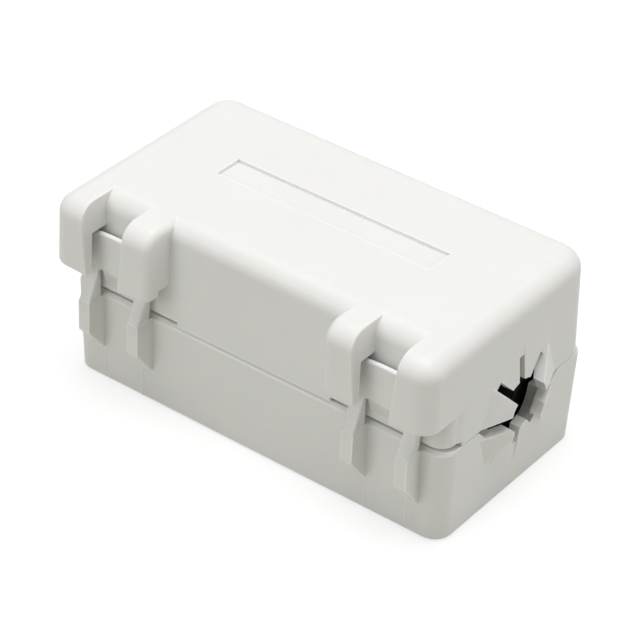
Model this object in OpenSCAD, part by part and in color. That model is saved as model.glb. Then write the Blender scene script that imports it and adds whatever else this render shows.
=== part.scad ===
// Clip-on ferrite bead: a moulded box that folds shut round a cable on a film hinge.
// Two spring hoops on the base catch the lid, and a split ferrite core fills the box.
// Millimetres. +X runs along the cable, -Y is the latch side, +Y the hinge side, +Z is up.
// The origin lies on the cable axis, midway along the case, a little below the parting plane.

/* [Ferrite core] */
// Length of the core along the cable
core_l = 32; // [24:0.5:40]
// Width of the core across the cable
core_w = 15.6; // [13.5:0.1:20]
// Height of one core half, from its ground face to its back
core_h = 7.15; // [6.2:0.05:9]
// Radius of the bore that the two halves form
core_bore_r = 3.5; // [3:0.1:4.5]
// Chamfer along the outer edges of each half
core_chamfer = 0.6; // [0.2:0.1:1]

/* [Case] */
// Thickness of the moulded walls
wall = 1.3; // [1:0.05:1.6]
// Room between the core's ends and the end walls
core_end_gap = 0.7; // [0.4:0.05:1]
// Room between the core's sides and the long walls
core_side_gap = 0.25; // [0.15:0.05:0.5]
// Height of the pads that hold the upper core off the lid's roof
lid_pad_h = 0.6; // [0.3:0.05:1]
// Width of the pads and of the ribs that centre the cores
rib_w = 1.2; // [0.8:0.1:2]
// Running gap between the ribs and the cores
rib_gap = 0.05; // [0.02:0.01:0.1]
// Taper of the outer walls away from the parting plane, in degrees
draft = 1.5; // [0.5:0.1:2.5]
// Radius of the lid's upright corners
corner_r = 2.2; // [1.8:0.1:2.8]
// Radius of the base's upright corners
base_corner_r = 1.5; // [1.2:0.1:2.4]
// Radius of the lid's upper edges
lid_edge_r = 1.6; // [1:0.1:1.8]
// Bevel along the long edges of the base's rim
rim_bevel = 0.3; // [0.1:0.05:0.4]
// Bevel round the base's underside
foot_bevel = 0.2; // [0.1:0.05:0.4]
// Open height of the parting line
parting_gap = 0.08; // [0.04:0.01:0.15]
// Air gap left between the ground faces of the cores
core_gap = 0.02; // [0.01:0.01:0.05]
// Set-back of the lid's corner posts from the end wall, below the outer ears
post_inset = 0.2; // [0.1:0.05:0.3]
// Width of the corner posts along the end wall
post_w = 1.45; // [1.2:0.05:1.8]
// Radius of the corner posts
post_r = 1.25; // [0.8:0.05:1.4]

/* [Label recess] */
// Length of the bare recess in the lid's top
label_l = 20.2; // [12:0.2:24]
// Width of the recess
label_w = 2.7; // [2:0.1:6]
// Depth of the recess
label_d = 0.28; // [0.1:0.02:0.4]

/* [Latches] */
// Distance from the middle of a hoop to the nearer end of the case
hoop_inset = 5.2; // [4.6:0.05:6]
// Clear width of a hoop's window
window_w = 3.85; // [3:0.05:4.5]
// Height of the window's upper edge over the parting plane
window_top = 2.5; // [2.2:0.05:3]
// Height of the crossbar at its ends
bar_h = 3.25; // [2.6:0.05:3.8]
// Rise of the crossbar's upper edge towards its middle
bar_crown = 0.3; // [0.1:0.05:0.5]
// Thickness of the crossbar
bar_t = 0.45; // [0.35:0.05:0.8]
// Width of each leg at its root
leg_w = 1.05; // [0.8:0.05:1.3]
// Extra width of each leg at the crossbar's top
leg_flare = 0.35; // [0:0.05:0.5]
// How far the legs' roots stand out from the case
leg_reach = 1.8; // [1.4:0.05:2]
// Depth of the legs' roots below the parting plane
root_drop = 0.2; // [0.1:0.05:0.4]
// Depth of the lower front edge of the root ribs
rib_face_drop = 3; // [2:0.1:4]
// Depth at which the root ribs run out into the wall
rib_foot_drop = 5.4; // [4.6:0.1:6.5]
// Gap between a hoop and the lid's wall
hoop_gap = 0.25; // [0.1:0.01:0.3]
// Overlap of the catch under the crossbar
catch_grip = 0.2; // [0.1:0.02:0.26]
// Gap between the catch's ledge and the crossbar
catch_gap = 0.1; // [0.05:0.01:0.2]
// Length of the catch's lead-in ramp
catch_ramp = 1.3; // [0.8:0.1:1.4]
// Width of the catch
catch_w = 3.3; // [2:0.1:3.6]
// Swing of a hoop that frees the catch, in degrees
hoop_swing = 5.5; // [4.5:0.1:6.5]

/* [Ears] */
// How far the ears stand out from the case
ear_reach = 2.6; // [2.4:0.05:3.2]
// Height of the ears' lower edge over the parting plane
ear_base_z = 3; // [2.6:0.1:3.6]
// Gap between the two ears of a latch near their upper edges
ear_gap = 3.95; // [3.2:0.05:4.4]
// Gap between the two ears at their lower edges
ear_gap_low = 3.1; // [2.2:0.05:3.4]
// Width of the ear nearer to the middle of the case, near its upper edge
ear_w = 2.6; // [2.2:0.05:4]
// Radius of the upright edge on the far side of that ear
ear_r = 0.7; // [0.4:0.05:0.9]
// Radius of the upright edges on both sides of the gap
ear_gap_r = 0.15; // [0.1:0.05:0.6]
// Radius of the ears' lower edges
ear_foot_r = 0.25; // [0.1:0.05:0.4]
// Thickness of the ears' lips at their lower edge
lip_t = 0.65; // [0.5:0.05:0.8]
// Side and top clearance round a hoop inside the ears
pocket_gap = 0.3; // [0.2:0.05:0.4]
// Depth of the step under the inner ears, behind their lips
ear_step = 0.65; // [0.3:0.05:0.8]
// Height of the relief in the lid's lower edge at the latches
relief_h = 0.5; // [0.3:0.05:1]
// Length of the relief past the inner ears
relief_past = 0.9; // [0.4:0.1:2]
// Length of the relief round the corner, along the end wall
relief_end = 2; // [1.5:0.1:2.6]
// Width of the fine mould seams below the hoops' windows
seam_w = 0.12; // [0.06:0.02:0.2]
// Height of the mould seams
seam_h = 0.03; // [0.02:0.01:0.08]

/* [Cable entries] */
// Radius of the mouth in the lid's end walls, at which the slots between the fingers end
lid_mouth_r = 4.05; // [3.7:0.05:4.4]
// Radius of the mouth in the base's end walls
base_mouth_r = 3.4; // [3.1:0.05:4]
// Radius at which the grip fingers rise from the end wall
finger_root_r = 4.7; // [4.5:0.05:5.2]
// Drop of the base's finger ring below the lid's ring, which lies on the parting plane
ring_drop = 0.7; // [0:0.05:0.9]
// Radius of the opening that all the finger tips form round the cable axis
grip_r = 2.3; // [1.9:0.05:2.7]
// Thickness of the fingers
finger_t = 0.9; // [0.6:0.05:1]
// Width of the slots between the fingers
slot_w = 0.72; // [0.5:0.02:0.9]
// Distance of the base's outer fingers below the middle of their ring
base_trim = 0.25; // [0.1:0.05:0.4]
// How far the tips beside the parting line stand out of the end wall
side_finger_rise = 1; // [0.3:0.05:1.2]
// How far the other tips stand out of the end wall
far_finger_rise = 0.25; // [0.1:0.05:1.2]
// Half width of the flared entry in the base's rim
entry_half_w = 5.25; // [4.6:0.05:5.6]
// Depth of the flared entry
entry_d = 0.9; // [0.6:0.05:1.2]

/* [Film hinge] */
// Width of each hinge web
web_w = 8; // [4:0.5:10]
// Distance from the middle of a web to the nearer end of the case
web_inset = 9; // [6:0.5:12]
// Thickness of the webs
web_t = 0.32; // [0.25:0.01:0.4]
// Radius of the closed fold, at the middle of the web
web_r = 0.5; // [0.45:0.01:0.6]

/* [Hidden] */
$fn = 48;
hull_fn = 32;
sliver = 0.01;
over = 1;
crown_fn = 200;
fingers = 4;
finger_step = 180 / fingers;

nylon = "#e4e3dc";
ferrite = "#2b2a2b";

cavity_l = core_l + 2 * core_end_gap;
cavity_w = core_w + 2 * core_side_gap;
case_l = cavity_l + 2 * wall;
case_w = cavity_w + 2 * wall;
base_h = core_h + wall;
lid_h = core_gap + core_h + lid_pad_h + wall;
cavity_r = corner_r - wall;
front_y = -case_w / 2;
parting_z = ring_drop / 2;
ear_sink = lid_edge_r + wall / 2;

hoop_x = case_l / 2 - hoop_inset;
hoop_half = window_w / 2 + leg_w;
bar_top = window_top + bar_h;
crown_r = (pow(hoop_half + leg_flare, 2) + pow(bar_crown, 2)) / (2 * bar_crown);
bar_face = hoop_gap + bar_t;
catch_z = window_top - catch_gap;
lip_low = ear_reach - lip_t;
// The crossbar's upper front edge at full swing about the legs' roots
bar_swing = leg_reach - (leg_reach - bar_face) * cos(hoop_swing)
    + (bar_top + bar_crown + root_drop) * sin(hoop_swing);
lip_high = bar_swing + hoop_gap;
pocket_z = bar_top + bar_crown + pocket_gap;

// Inward shift of a tapered wall at a distance from where its taper starts
function taper(z) = z * tan(draft);

// Points along an arc in the plane
function arc(x, y, r, from, to) =
    [for (i = [0 : hull_fn / 4])
        let (a = from + (to - from) * 4 * i / hull_fn)
            [x + r * cos(a), y + r * sin(a)]];

// The +X +Y quarter of a round post of radius r, with its upper rim rounded by edge
module soft_quarter(r, edge) {
    rotate_extrude(angle = 90, $fn = hull_fn)
        polygon(concat([[0, 0]], arc(r - edge, 0, edge, 0, 90)));
}

// The +X +Y quarter of a thin disc that rests on z = 0
module thin_quarter(r) {
    rotate_extrude(angle = 90, $fn = hull_fn) square([r, sliver]);
}

// Copies of a quarter post of radius r at the four upright corners, moved in along X and Y
module at_corners(r, inset_x, inset_y) {
    for (sx = [0, 1], sy = [0, 1])
        mirror([sx, 0, 0])
            mirror([0, sy, 0])
                translate([case_l / 2 - r - inset_x, case_w / 2 - r - inset_y, 0])
                    children();
}

// A rounded rectangle with true arcs
module rounded_plan(l, w, r) {
    square([l - 2 * r, w], center = true);
    square([l, w - 2 * r], center = true);
    for (sx = [-1, 1], sy = [-1, 1])
        translate([sx * (l / 2 - r), sy * (w / 2 - r)]) circle(r);
}

// A profile drawn in the Y-Z plane, extruded along X about x = 0
module along_x(l) {
    rotate([90, 0, 90])
        translate([0, 0, -l / 2])
            linear_extrude(l) children();
}

// Both ends of the case
module at_ends() {
    for (s = [0, 1])
        mirror([s, 0, 0]) children();
}

module lid_skin() {
    lean = taper(lid_h - lid_edge_r - parting_gap);
    hull() {
        at_corners(corner_r, 0, 0)
            translate([0, 0, parting_gap]) thin_quarter(corner_r);
        at_corners(corner_r, lean, lean)
            translate([0, 0, lid_h - lid_edge_r]) soft_quarter(corner_r, lid_edge_r);
    }
}

module base_skin() {
    lean = taper(base_h - rim_bevel - foot_bevel);
    hull() {
        at_corners(base_corner_r, 0, rim_bevel)
            translate([0, 0, -sliver]) thin_quarter(base_corner_r);
        at_corners(base_corner_r, 0, 0)
            translate([0, 0, -rim_bevel]) thin_quarter(base_corner_r);
        at_corners(base_corner_r, lean, lean)
            translate([0, 0, foot_bevel - base_h]) thin_quarter(base_corner_r);
        at_corners(base_corner_r, lean + foot_bevel, lean + foot_bevel)
            translate([0, 0, -base_h]) thin_quarter(base_corner_r);
    }
}

// Whatever is drawn from the parting plane, put in its place over the cable axis
module on_parting() {
    translate([0, 0, parting_z]) children();
}

// The lid's corner posts, which stand back a little from the end walls
module corner_posts(l, w, r) {
    h = ear_base_z + ear_foot_r;
    intersection() {
        translate([0, 0, parting_gap])
            linear_extrude(h) rounded_plan(l, w, r);
        for (sx = [-1, 1])
            translate([sx * case_l / 2, front_y, parting_gap + h / 2])
                cube([2 * corner_r, 2 * post_w, h], center = true);
    }
}

// The upright -X front edge of an ear, rounded by r and by the lid's own radius at the top
module ear_edge(r, top_shift) {
    foot_r = min(r, ear_foot_r);
    translate([r, r - ear_reach, ear_base_z + foot_r])
        rotate([180, 0, -90]) soft_quarter(r, foot_r);
    translate([r + top_shift, lid_edge_r - ear_reach, lid_h - lid_edge_r])
        rotate([90, 0, -90]) soft_quarter(lid_edge_r, r);
}

// An ear whose two sides run from their foot, at low0 and low1, to the lid's edge, at top0 and top1
module ear(low0, top0, r0, low1, top1, r1) {
    foot_z = ear_base_z + ear_foot_r;
    hull() {
        translate([low0, front_y, 0]) ear_edge(r0, top0 - low0);
        translate([low1, front_y, 0])
            mirror([1, 0, 0]) ear_edge(r1, low1 - top1);
        translate([0, front_y + ear_sink, 0])
            rotate([90, 0, 0])
                linear_extrude(sliver)
                    polygon(concat(arc(top0 + r0, lid_h - r0, r0, 180, 90),
                                   arc(top1 - r1, lid_h - r1, r1, 90, 0),
                                   arc(low1 - ear_foot_r, foot_z, ear_foot_r, 0, -90),
                                   arc(low0 + ear_foot_r, foot_z, ear_foot_r, -90, -180)));
    }
}

// The room behind the ears' lips in which a hoop swings
module hoop_pocket() {
    lean = (lip_low - lip_high) / (pocket_z - ear_base_z);
    translate([hoop_x, 0, 0])
        along_x(2 * (hoop_half + leg_flare + pocket_gap))
            polygon([[front_y + wall, ear_base_z - over],
                     [front_y - lip_low - over * lean, ear_base_z - over],
                     [front_y - lip_high, pocket_z],
                     [front_y + wall, pocket_z]]);
}

// The pair of ears at the +X end of the lid. The outer one leans with the end wall
module ear_pair() {
    far_x = hoop_x - ear_gap / 2 - ear_w;
    end_low = case_l / 2 - taper(ear_base_z + ear_foot_r - parting_gap);
    end_top = case_l / 2 - taper(lid_h - lid_edge_r - parting_gap);
    difference() {
        union() {
            difference() {
                ear(far_x, far_x, ear_r, hoop_x - ear_gap_low / 2, hoop_x - ear_gap / 2, ear_gap_r);
                translate([far_x - over, front_y - ear_reach / 2, ear_base_z - over])
                    cube([ear_w + ear_gap / 2 + over, ear_reach, over + ear_step]);
            }
            ear(hoop_x + ear_gap_low / 2, hoop_x + ear_gap / 2, ear_gap_r, end_low, end_top, lid_edge_r);
        }
        hoop_pocket();
    }
}

// The wedge on the lid's wall that the crossbar snaps over
module catch_wedge() {
    depth = hoop_gap + catch_grip;
    translate([hoop_x, 0, 0])
        along_x(catch_w)
            polygon([[front_y + wall / 2, catch_z],
                     [front_y - depth, catch_z],
                     [front_y - depth, catch_z - catch_gap],
                     [front_y, catch_z - catch_ramp],
                     [front_y + wall / 2, catch_z - catch_ramp]]);
}

// The relief in the lid's lower edge that lets the legs and the corner breathe
module latch_relief() {
    relief_x = hoop_x - ear_gap / 2 - ear_w - relief_past;
    translate([relief_x, front_y - over, 0])
        cube([case_l / 2 - relief_x + over, wall + over + sliver, relief_h]);
    translate([case_l / 2 - wall - sliver, front_y - over, 0])
        cube([wall + over, relief_end + over, relief_h]);
}

// Distance of a finger's side from its middle line, at a radius, with the side cut back by trim
function finger_side(r, trim) = r * tan(finger_step / 2) - trim / cos(finger_step / 2);

// A grip finger of the +X end, rising from the tapered end wall towards the middle of its ring
module finger(angle, rise, trim0, trim1) {
    tilt = atan(rise / (finger_root_r - grip_r));
    outer_r = finger_root_r + wall / 2;
    inner_r = grip_r - over;
    rotate([angle, 0, 0])
        translate([case_l / 2 - taper(finger_root_r * abs(sin(angle))), finger_root_r, 0])
            rotate([0, 0, tilt])
                rotate([0, -90, 0])
                    linear_extrude(finger_t)
                        translate([0, -finger_root_r])
                            polygon([[-finger_side(outer_r, trim0), outer_r],
                                     [finger_side(outer_r, trim1), outer_r],
                                     [finger_side(inner_r, trim1), inner_r],
                                     [-finger_side(inner_r, trim0), inner_r]]);
}

// The four fingers of the upper half of a ring, cut off level at trim over its middle
module half_ring(trim) {
    last = fingers - 1;
    difference() {
        for (i = [0 : last])
            finger(finger_step * (i + 0.5),
                   i == 0 || i == last ? side_finger_rise : far_finger_rise,
                   i == 0 ? trim : slot_w / 2,
                   i == last ? trim : slot_w / 2);
        translate([0, -case_w / 2, trim - case_w]) cube([case_l, case_w, case_w]);
    }
}

// The round opening that the finger tips leave for the cable
module cable_room() {
    translate([0, 0, -parting_z])
        rotate([0, 90, 0]) cylinder(r = grip_r, h = case_l);
}

// The round mouths through both end walls
module mouths(r) {
    rotate([0, 90, 0])
        cylinder(r = r, h = case_l + 2 * over, center = true);
}

// The flared entries in the base's rim over the mouths
module base_entries() {
    narrow = entry_half_w - entry_d;
    along_x(case_l + 2 * over)
        polygon([[-entry_half_w, 0], [-narrow, -entry_d], [narrow, -entry_d], [entry_half_w, 0],
                 [entry_half_w, over], [-entry_half_w, over]]);
}

// Upright ribs on the inner walls that centre a core half, from z0 upwards
module core_ribs(z0, h) {
    side_reach = core_side_gap - rib_gap + wall / 2;
    end_reach = core_end_gap - rib_gap + wall / 2;
    for (sx = [-1, 1], sy = [-1, 1]) {
        translate([sx * core_l / 4, sy * (core_w / 2 + rib_gap + side_reach / 2), z0 + h / 2])
            cube([rib_w, side_reach, h], center = true);
        translate([sx * (core_l / 2 + rib_gap + end_reach / 2), sy * (core_w / 2 - rib_w), z0 + h / 2])
            cube([end_reach, rib_w, h], center = true);
    }
}

// The raised root of a leg on the base's front wall
module leg_rib(x) {
    slope = (leg_reach + taper(rib_foot_drop)) / (rib_foot_drop - rib_face_drop);
    sunk = wall / 2;
    translate([x, 0, 0])
        along_x(leg_w)
            polygon([[front_y + sunk, -root_drop],
                     [front_y - leg_reach, -root_drop],
                     [front_y - leg_reach, -rib_face_drop],
                     [front_y + sunk, -rib_face_drop - (leg_reach + sunk) / slope]]);
}

// A fine mould seam that runs down the base's front wall
module mould_seam(x) {
    foot = base_h - foot_bevel;
    translate([x, 0, 0])
        along_x(seam_w)
            polygon([[front_y + wall / 2, -rib_face_drop],
                     [front_y + taper(rib_face_drop - rim_bevel) - seam_h, -rib_face_drop],
                     [front_y + taper(foot - rim_bevel) - seam_h, -foot],
                     [front_y + wall / 2, -foot]]);
}

module lower_case() {
    color(nylon)
        on_parting() {
            difference() {
                union() {
                    base_skin();
                    at_ends()
                        for (s = [-1, 1]) {
                            leg_rib(hoop_x + s * (window_w + leg_w) / 2);
                            mould_seam(hoop_x + s * window_w / 2);
                        }
                }
                translate([0, 0, -core_h])
                    linear_extrude(core_h + over) rounded_plan(cavity_l, cavity_w, cavity_r);
                translate([0, 0, -ring_drop]) mouths(base_mouth_r);
                base_entries();
            }
            core_ribs(-core_h - sliver, core_h / 2);
            at_ends()
                difference() {
                    translate([0, 0, -ring_drop])
                        mirror([0, 0, 1]) half_ring(base_trim);
                    cable_room();
                }
        }
}

module upper_case() {
    roof_z = lid_h - wall;
    color(nylon)
        on_parting() {
            difference() {
                union() {
                    difference() {
                        lid_skin();
                        corner_posts(case_l + over, case_w + over, sliver);
                    }
                    corner_posts(case_l - 2 * post_inset, case_w, post_r);
                    at_ends() {
                        ear_pair();
                        catch_wedge();
                    }
                }
                translate([0, 0, -over])
                    linear_extrude(roof_z + over) rounded_plan(cavity_l, cavity_w, cavity_r);
                mouths(lid_mouth_r);
                at_ends() latch_relief();
                translate([-label_l / 2, -label_w / 2, lid_h - label_d])
                    cube([label_l, label_w, label_d + over]);
            }
            core_ribs(roof_z - core_h / 2, core_h / 2 + sliver);
            for (sx = [-1, 1])
                translate([sx * core_l / 4, 0, roof_z + (sliver - lid_pad_h) / 2])
                    cube([rib_w, core_w / 2, lid_pad_h + sliver], center = true);
            at_ends()
                difference() {
                    half_ring(parting_gap);
                    cable_room();
                }
        }
}

// A core half that stands on its back at z = 0, with its ground face up
module core_half() {
    color(ferrite)
        along_x(core_l)
            difference() {
                polygon([[-core_w / 2 + core_chamfer, 0], [core_w / 2 - core_chamfer, 0],
                         [core_w / 2, core_chamfer], [core_w / 2, core_h],
                         [-core_w / 2, core_h], [-core_w / 2, core_chamfer]]);
                translate([0, core_h]) circle(core_bore_r);
            }
}

module lower_core() {
    on_parting()
        translate([0, 0, -core_h]) core_half();
}

module upper_core() {
    on_parting()
        translate([0, 0, lid_h - wall - lid_pad_h])
            mirror([0, 0, 1]) core_half();
}

// A hoop: its side profile cut to the outline seen from the front, with the window through it
module hoop() {
    top = bar_top + bar_crown;
    color(nylon)
        difference() {
            intersection() {
                along_x(case_l)
                    polygon([[front_y - hoop_gap, -root_drop],
                             [front_y - leg_reach, -root_drop],
                             [front_y - bar_face, window_top],
                             [front_y - bar_face, top],
                             [front_y - hoop_gap, top]]);
                rotate([90, 0, 0])
                    linear_extrude(case_w)
                        intersection() {
                            polygon([[-hoop_half, -root_drop], [hoop_half, -root_drop],
                                     [hoop_half + leg_flare, top], [-hoop_half - leg_flare, top]]);
                            translate([0, top - crown_r]) circle(crown_r, $fn = crown_fn);
                        }
            }
            translate([-window_w / 2, front_y - leg_reach - over, -root_drop - over])
                cube([window_w, leg_reach + 2 * over, root_drop + window_top + over]);
        }
}

module latch_left() {
    translate([-hoop_x, 0, parting_z]) hoop();
}

module latch_right() {
    translate([hoop_x, 0, parting_z]) hoop();
}

// A web folded into a half round behind the parting line
module hinge_web(x) {
    color(nylon)
        translate([x, case_w / 2, parting_z + parting_gap / 2])
            along_x(web_w)
                difference() {
                    circle(web_r + web_t / 2);
                    circle(web_r - web_t / 2);
                    translate([-2 * web_r, -2 * web_r]) square([2 * web_r, 4 * web_r]);
                }
}

module hinge_web_left() {
    hinge_web(web_inset - case_l / 2);
}

module hinge_web_right() {
    hinge_web(case_l / 2 - web_inset);
}

lower_case();
upper_case();
lower_core();
upper_core();
latch_left();
latch_right();
hinge_web_left();
hinge_web_right();
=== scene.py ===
from math import cos, pi, radians, sin

import bmesh
import bpy
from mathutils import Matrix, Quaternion, Vector


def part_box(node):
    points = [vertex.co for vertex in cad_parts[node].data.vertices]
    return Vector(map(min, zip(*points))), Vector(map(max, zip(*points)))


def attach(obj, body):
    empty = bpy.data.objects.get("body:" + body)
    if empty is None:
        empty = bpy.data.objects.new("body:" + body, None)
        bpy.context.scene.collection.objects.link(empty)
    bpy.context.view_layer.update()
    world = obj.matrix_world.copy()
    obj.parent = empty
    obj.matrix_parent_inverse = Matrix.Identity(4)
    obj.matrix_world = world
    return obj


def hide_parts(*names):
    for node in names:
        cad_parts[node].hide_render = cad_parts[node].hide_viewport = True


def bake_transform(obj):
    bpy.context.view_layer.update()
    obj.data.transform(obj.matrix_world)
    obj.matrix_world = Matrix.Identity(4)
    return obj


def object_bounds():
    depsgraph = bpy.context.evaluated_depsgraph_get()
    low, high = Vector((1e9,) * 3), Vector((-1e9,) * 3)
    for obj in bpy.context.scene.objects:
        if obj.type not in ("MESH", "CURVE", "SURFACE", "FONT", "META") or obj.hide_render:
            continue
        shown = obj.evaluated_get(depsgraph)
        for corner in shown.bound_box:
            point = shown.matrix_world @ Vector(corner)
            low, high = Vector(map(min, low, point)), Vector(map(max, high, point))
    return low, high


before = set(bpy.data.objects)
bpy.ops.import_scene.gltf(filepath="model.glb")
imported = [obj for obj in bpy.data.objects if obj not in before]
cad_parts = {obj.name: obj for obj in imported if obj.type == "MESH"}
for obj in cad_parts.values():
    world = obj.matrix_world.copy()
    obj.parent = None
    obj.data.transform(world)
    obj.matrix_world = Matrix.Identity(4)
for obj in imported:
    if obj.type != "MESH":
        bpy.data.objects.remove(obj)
cad_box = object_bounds()
mm = 0.001


# Ferrite core
# Two half blocks pressed from black ferrite powder and sintered, with a half bore each.
# Their mating faces are ground flat, and the case halves hold them between ribs.

def joined_mesh(node):
    """A bmesh of a CAD node with its loose triangles joined and its flat faces whole."""
    weld_gap = 0.002 * mm
    flat_angle = radians(0.5)
    bm = bmesh.new()
    bm.from_mesh(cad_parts[node].data)
    bmesh.ops.remove_doubles(bm, verts=bm.verts, dist=weld_gap)
    bmesh.ops.dissolve_limit(bm, angle_limit=flat_angle, verts=bm.verts, edges=bm.edges)
    return bm


def sharp_edges(bm, from_angle):
    """The edges at which two faces meet at more than an angle."""
    return [edge for edge in bm.edges
            if edge.is_manifold and edge.calc_face_angle() > from_angle]


def round_off(bm, edges, edge_r):
    """Rounds edges in place by a radius."""
    bmesh.ops.bevel(bm, geom=edges, offset=edge_r, offset_type="OFFSET", affect="EDGES",
                    segments=3, profile=0.5, material=-1, clamp_overlap=False)


def shade(bm, sharp_from):
    """Smooth shading over the whole mesh but for the edges sharper than an angle."""
    for face in bm.faces:
        face.smooth = True
    for edge in sharp_edges(bm, sharp_from):
        edge.smooth = False


def new_piece(bm, name):
    """An object from a finished bmesh, with even shading over its flat faces."""
    mesh = bpy.data.meshes.new(name)
    bm.to_mesh(mesh)
    bm.free()
    piece = bpy.data.objects.new(name, mesh)
    bpy.context.scene.collection.objects.link(piece)
    even = piece.modifiers.new("even_shading", "WEIGHTED_NORMAL")
    even.keep_sharp = True
    return piece


def node_maker(tree):
    """A short way to add a node with its values and links to a node tree."""
    def add(kind, inputs=None, **settings):
        node = tree.nodes.new(kind)
        for key, value in settings.items():
            setattr(node, key, value)
        for key, value in (inputs or {}).items():
            socket = node.inputs[key]
            if isinstance(value, bpy.types.NodeSocket):
                tree.links.new(value, socket)
            else:
                socket.default_value = value
        return node
    return add


def new_material(name):
    """An empty node material and the function that adds nodes to it."""
    material = bpy.data.materials.new(name)
    material.use_nodes = True
    material.node_tree.nodes.clear()
    return material, node_maker(material.node_tree)


def surface_grain_group():
    """The fine grain of a moulded or sintered surface and the slow drift of its shade."""
    group = bpy.data.node_groups.new("surface_grain", "ShaderNodeTree")
    for name in ("Grain Scale", "Drift Scale"):
        group.interface.new_socket(name, in_out="INPUT", socket_type="NodeSocketFloat")
    for name in ("Grain", "Drift"):
        group.interface.new_socket(name, in_out="OUTPUT", socket_type="NodeSocketFloat")
    add = node_maker(group)
    given = add("NodeGroupInput").outputs
    place = add("ShaderNodeTexCoord").outputs["Object"]
    grain = add("ShaderNodeTexNoise", {"Vector": place, "Scale": given["Grain Scale"], "Detail": 5})
    drift = add("ShaderNodeTexNoise", {"Vector": place, "Scale": given["Drift Scale"], "Detail": 3})
    add("NodeGroupOutput", {"Grain": grain.outputs["Fac"], "Drift": drift.outputs["Fac"]})
    return group


def mix_colours(add, factor, first, second):
    """The mix of two colours, whose sockets on the node are told apart only by number."""
    mix = add("ShaderNodeMix", {0: factor, 6: first, 7: second}, data_type="RGBA")
    return mix.outputs[2]


def ferrite_material(ground_z):
    """Black sintered ferrite, smoother and a little lighter on the faces ground at ground_z."""
    pit_depth = 0.012 * mm
    ground_within = 0.03 * mm
    scratch_scale = (300, 9000, 9000)
    material, add = new_material("sintered_ferrite")
    grain = add("ShaderNodeGroup", {"Grain Scale": 4000, "Drift Scale": 300}, node_tree=surface_grain)
    pits = add("ShaderNodeBump", {
        "Height": grain.outputs["Grain"], "Distance": pit_depth, "Strength": 1})
    place = add("ShaderNodeTexCoord").outputs["Object"]
    height = add("ShaderNodeSeparateXYZ", {"Vector": place})
    ground = add("ShaderNodeMath", {
        0: height.outputs["Z"], 1: ground_z, 2: ground_within}, operation="COMPARE")
    stretched = add("ShaderNodeMapping", {"Vector": place, "Scale": scratch_scale})
    lines = add("ShaderNodeTexNoise", {
        "Vector": stretched.outputs["Vector"], "Scale": 1, "Detail": 3})
    pressed = add("ShaderNodeValToRGB", {"Fac": grain.outputs["Drift"]})
    pressed.color_ramp.elements[0].color = (0.010, 0.0095, 0.0095, 1)
    pressed.color_ramp.elements[1].color = (0.030, 0.029, 0.028, 1)
    polished = add("ShaderNodeValToRGB", {"Fac": lines.outputs["Fac"]})
    polished.color_ramp.elements[0].color = (0.030, 0.029, 0.029, 1)
    polished.color_ramp.elements[1].color = (0.062, 0.060, 0.059, 1)
    rough = add("ShaderNodeMapRange", {
        "Value": ground.outputs["Value"], "To Min": 0.68, "To Max": 0.36})
    surface = add("ShaderNodeBsdfPrincipled", {
        "Base Color": mix_colours(
            add, ground.outputs["Value"], pressed.outputs["Color"], polished.outputs["Color"]),
        "Roughness": rough.outputs["Result"],
        "Normal": pits.outputs["Normal"],
    })
    add("ShaderNodeOutputMaterial", {"Surface": surface.outputs["BSDF"]})
    return material


surface_grain = surface_grain_group()
parting_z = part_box("lower_core")[1].z
ferrite = ferrite_material(parting_z)
core_edge_r = 0.12 * mm
crease = radians(20)
blunt_crease = radians(40)
for half, body in (("lower_core", "base"), ("upper_core", "lid")):
    bm = joined_mesh(half)
    round_off(bm, sharp_edges(bm, crease), core_edge_r)
    shade(bm, blunt_crease)
    core = new_piece(bm, half + "_block")
    core.data.materials.append(ferrite)
    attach(core, body)
    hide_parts(half)


# Case halves
# Two shells injection moulded in satin pale grey nylon, with a highlight painted lighter along their
# convex edges. The base carries the roots of the hoops, and the lid the ears.

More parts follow.
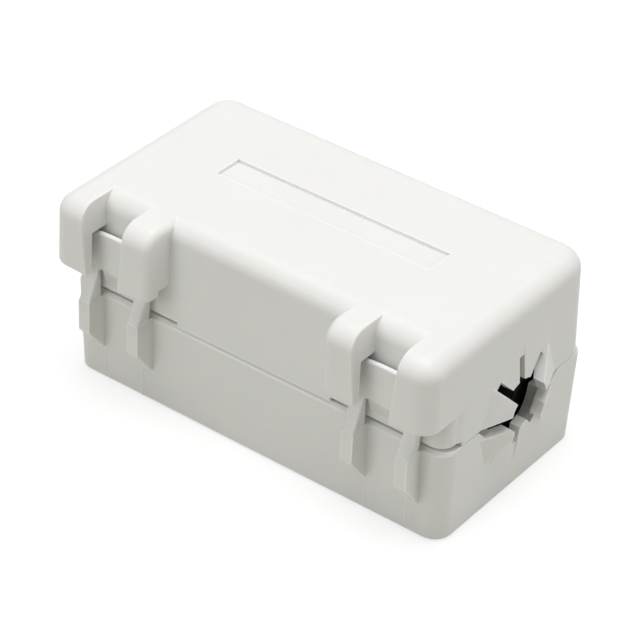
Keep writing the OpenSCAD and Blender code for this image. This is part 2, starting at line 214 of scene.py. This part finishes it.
def nylon_material():
    """Pale grey nylon, a little translucent, with drifting shade, mould grain and a painted highlight
    on its convex edges.
    """
    relief_depth = 0.0015 * mm
    edge_w = 0.2 * mm
    hollow_w = 0.5 * mm
    # Painted highlight: convex edges are coloured lighter, standing in for rounded edges catching the
    # light.
    painted_highlight_colour = (0.97, 0.963, 0.935, 1)
    material, add = new_material("moulded_nylon")
    grain = add("ShaderNodeGroup", {"Grain Scale": 6000, "Drift Scale": 140}, node_tree=surface_grain)
    tint = add("ShaderNodeValToRGB", {"Fac": grain.outputs["Drift"]})
    tint.color_ramp.elements[0].color = (0.776, 0.773, 0.754, 1)
    tint.color_ramp.elements[1].color = (0.808, 0.806, 0.788, 1)
    rough = add("ShaderNodeMapRange", {
        "Value": grain.outputs["Grain"], "To Min": 0.42, "To Max": 0.56})
    relief = add("ShaderNodeBump", {
        "Height": grain.outputs["Grain"], "Distance": relief_depth, "Strength": 1})
    rounded = add("ShaderNodeBevel", {"Radius": edge_w}, samples=4)
    facing = add("ShaderNodeNewGeometry")
    turn = add("ShaderNodeVectorMath", {
        0: rounded.outputs["Normal"], 1: facing.outputs["Normal"]}, operation="DOT_PRODUCT")
    at_edge = add("ShaderNodeMapRange", {
        "Value": turn.outputs["Value"], "From Min": 0.995, "From Max": 0.9})
    air = add("ShaderNodeAmbientOcclusion", {"Distance": hollow_w}, samples=2)
    in_reach = add("ShaderNodeMapRange", {
        "Value": air.outputs["AO"], "From Min": 0.65, "From Max": 0.95})
    # Painted highlight mask: edges where the bevelled normal turns away, kept to convex ones by
    # ambient occlusion.
    painted_highlight_mask = add("ShaderNodeMath", {
        0: at_edge.outputs["Result"], 1: in_reach.outputs["Result"]}, operation="MULTIPLY")
    surface = add("ShaderNodeBsdfPrincipled", {
        "Base Color": mix_colours(
            add, painted_highlight_mask.outputs["Value"], tint.outputs["Color"], painted_highlight_colour),
        "Roughness": rough.outputs["Result"],
        "Normal": relief.outputs["Normal"],
        "Subsurface Weight": 0.3,
        "Subsurface Radius": (1, 0.75, 0.45),
        "Subsurface Scale": 0.8 * mm,
    })
    add("ShaderNodeOutputMaterial", {"Surface": surface.outputs["BSDF"]})
    return material


nylon = nylon_material()
for half, body, name in (
        ("lower_case", "base", "base_shell"),
        ("upper_case", "lid", "lid_shell")):
    bm = joined_mesh(half)
    shade(bm, crease)
    shell = new_piece(bm, name)
    shell.data.materials.append(nylon)
    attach(shell, body)
    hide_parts(half)


# Latch hoops
# Two flat spring hoops moulded in one with the base, each on two legs that bend at their
# roots while the crossbar rides over the catch on the lid.

hoop_edge_r = 0.2 * mm
for side in ("left", "right"):
    node = "latch_" + side
    leg_root_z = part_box(node)[0].z
    above_root_z = leg_root_z + 0.01 * mm
    bm = joined_mesh(node)
    free_edges = [edge for edge in sharp_edges(bm, crease)
                  if any(vert.co.z > above_root_z for vert in edge.verts)]
    round_off(bm, free_edges, hoop_edge_r)
    shade(bm, blunt_crease)
    hoop = new_piece(bm, node + "_hoop")
    hoop.data.materials.append(nylon)
    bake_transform(hoop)
    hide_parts(node)


# Film hinge
# Two thin webs moulded between the case halves, folded into a half round while the lid
# is shut and drawn out flat when it lies open.

web_t = 0.32 * mm
fold_steps = 24
for side in ("left", "right"):
    node = "hinge_web_" + side
    low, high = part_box(node)
    fold = Vector((0, low.y, (low.z + high.z) / 2))
    bm = bmesh.new()
    corners = [bm.verts.new(corner) for corner in (
        (low.x, low.y, low.z), (high.x, low.y, low.z),
        (high.x, low.y, low.z + web_t), (low.x, low.y, low.z + web_t))]
    strip = bm.faces.new(corners)
    bmesh.ops.spin(bm, geom=[strip, *strip.edges, *corners], cent=fold, axis=(1, 0, 0),
                   angle=pi, steps=fold_steps)
    bmesh.ops.recalc_face_normals(bm, faces=bm.faces)
    shade(bm, blunt_crease)
    web = new_piece(bm, node + "_strip")
    web.data.materials.append(nylon)
    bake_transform(web)
    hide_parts(node)


# Studio
# A white table in white surroundings under a broad soft light, with a weaker one in front
# and one at the end, seen from the corner that shows both latches and one cable entry.

def shown_to_camera(add):
    """1 on what the camera sees, by itself or in a reflection or through glass, else 0."""
    path = add("ShaderNodeLightPath").outputs
    mirrored = add("ShaderNodeMath", {
        0: path["Is Glossy Ray"], 1: path["Is Transmission Ray"]}, operation="MAXIMUM")
    shown = add("ShaderNodeMath", {
        0: path["Is Camera Ray"], 1: mirrored.outputs["Value"]}, operation="MAXIMUM")
    return shown.outputs["Value"]


table_half = 0.6
bm = bmesh.new()
bmesh.ops.create_grid(bm, x_segments=1, y_segments=1, size=table_half)
bmesh.ops.translate(bm, verts=bm.verts, vec=(0, 0, cad_box[0].z))
table_mesh = bpy.data.meshes.new("table")
bm.to_mesh(table_mesh)
bm.free()
table = bpy.data.objects.new("table", table_mesh)
bpy.context.scene.collection.objects.link(table)

white_table, add = new_material("white_table")
bounce = add("ShaderNodeBsdfDiffuse", {"Color": (0.52, 0.512, 0.45, 1)})
paint = add("ShaderNodeBsdfDiffuse", {"Color": (0.4, 0.4, 0.4, 1)})
glow = add("ShaderNodeEmission", {"Color": (1, 1, 1, 1), "Strength": 0.65})
bright = add("ShaderNodeAddShader", {0: paint.outputs["BSDF"], 1: glow.outputs["Emission"]})
choice = add("ShaderNodeMixShader", {
    "Fac": shown_to_camera(add), 1: bounce.outputs["BSDF"], 2: bright.outputs["Shader"]})
add("ShaderNodeOutputMaterial", {"Surface": choice.outputs["Shader"]})
table_mesh.materials.append(white_table)

world = bpy.data.worlds.new("studio")
bpy.context.scene.world = world
world.use_nodes = True
world.node_tree.nodes.clear()
add = node_maker(world.node_tree)
fill = add("ShaderNodeBackground", {"Color": (1, 1, 1, 1), "Strength": 0.3})
white = add("ShaderNodeBackground", {"Color": (1, 1, 1, 1), "Strength": 1})
choice = add("ShaderNodeMixShader", {
    "Fac": shown_to_camera(add), 1: fill.outputs["Background"], 2: white.outputs["Background"]})
add("ShaderNodeOutputWorld", {"Surface": choice.outputs["Shader"]})

for name, place, width, watts in (
        ("overhead", (0, 0, 0.5), 0.45, 1.93),
        ("front", (-0.12, -0.42, 0.24), 0.3, 0.52),
        ("end", (0.41, 0.22, 0.2), 0.3, 0.46)):
    softbox = bpy.data.lights.new(name, "AREA")
    softbox.shape = "DISK"
    softbox.size = width
    softbox.energy = watts
    holder = bpy.data.objects.new(name, softbox)
    holder.location = place
    holder.rotation_mode = "QUATERNION"
    holder.rotation_quaternion = (-holder.location).to_track_quat("-Z", "Y")
    holder.visible_camera = False
    bpy.context.scene.collection.objects.link(holder)

azimuth = radians(35.37)
elevation = radians(35.09)
roll = radians(2.93)
distance = 0.2202
lens_mm = 159.26
aside = -0.000511
below = -0.000753
target = Vector((0, 0, parting_z))
back = Vector((sin(azimuth) * cos(elevation), -cos(azimuth) * cos(elevation), sin(elevation)))
level = (-back).to_track_quat("-Z", "Y")
tilt = Quaternion((0, 0, 1), roll)
aim = target + level @ tilt @ Vector((aside, below, 0))
camera_data = bpy.data.cameras.new("camera")
camera_data.lens = lens_mm
camera_data.clip_start = 0.01
camera_data.clip_end = 5
camera = bpy.data.objects.new("camera", camera_data)
camera.location = target + back * distance
camera.rotation_mode = "QUATERNION"
camera.rotation_quaternion = (aim - camera.location).to_track_quat("-Z", "Y") @ tilt
bpy.context.scene.collection.objects.link(camera)
bpy.context.scene.camera = camera
bpy.context.scene.view_settings.view_transform = "Standard"
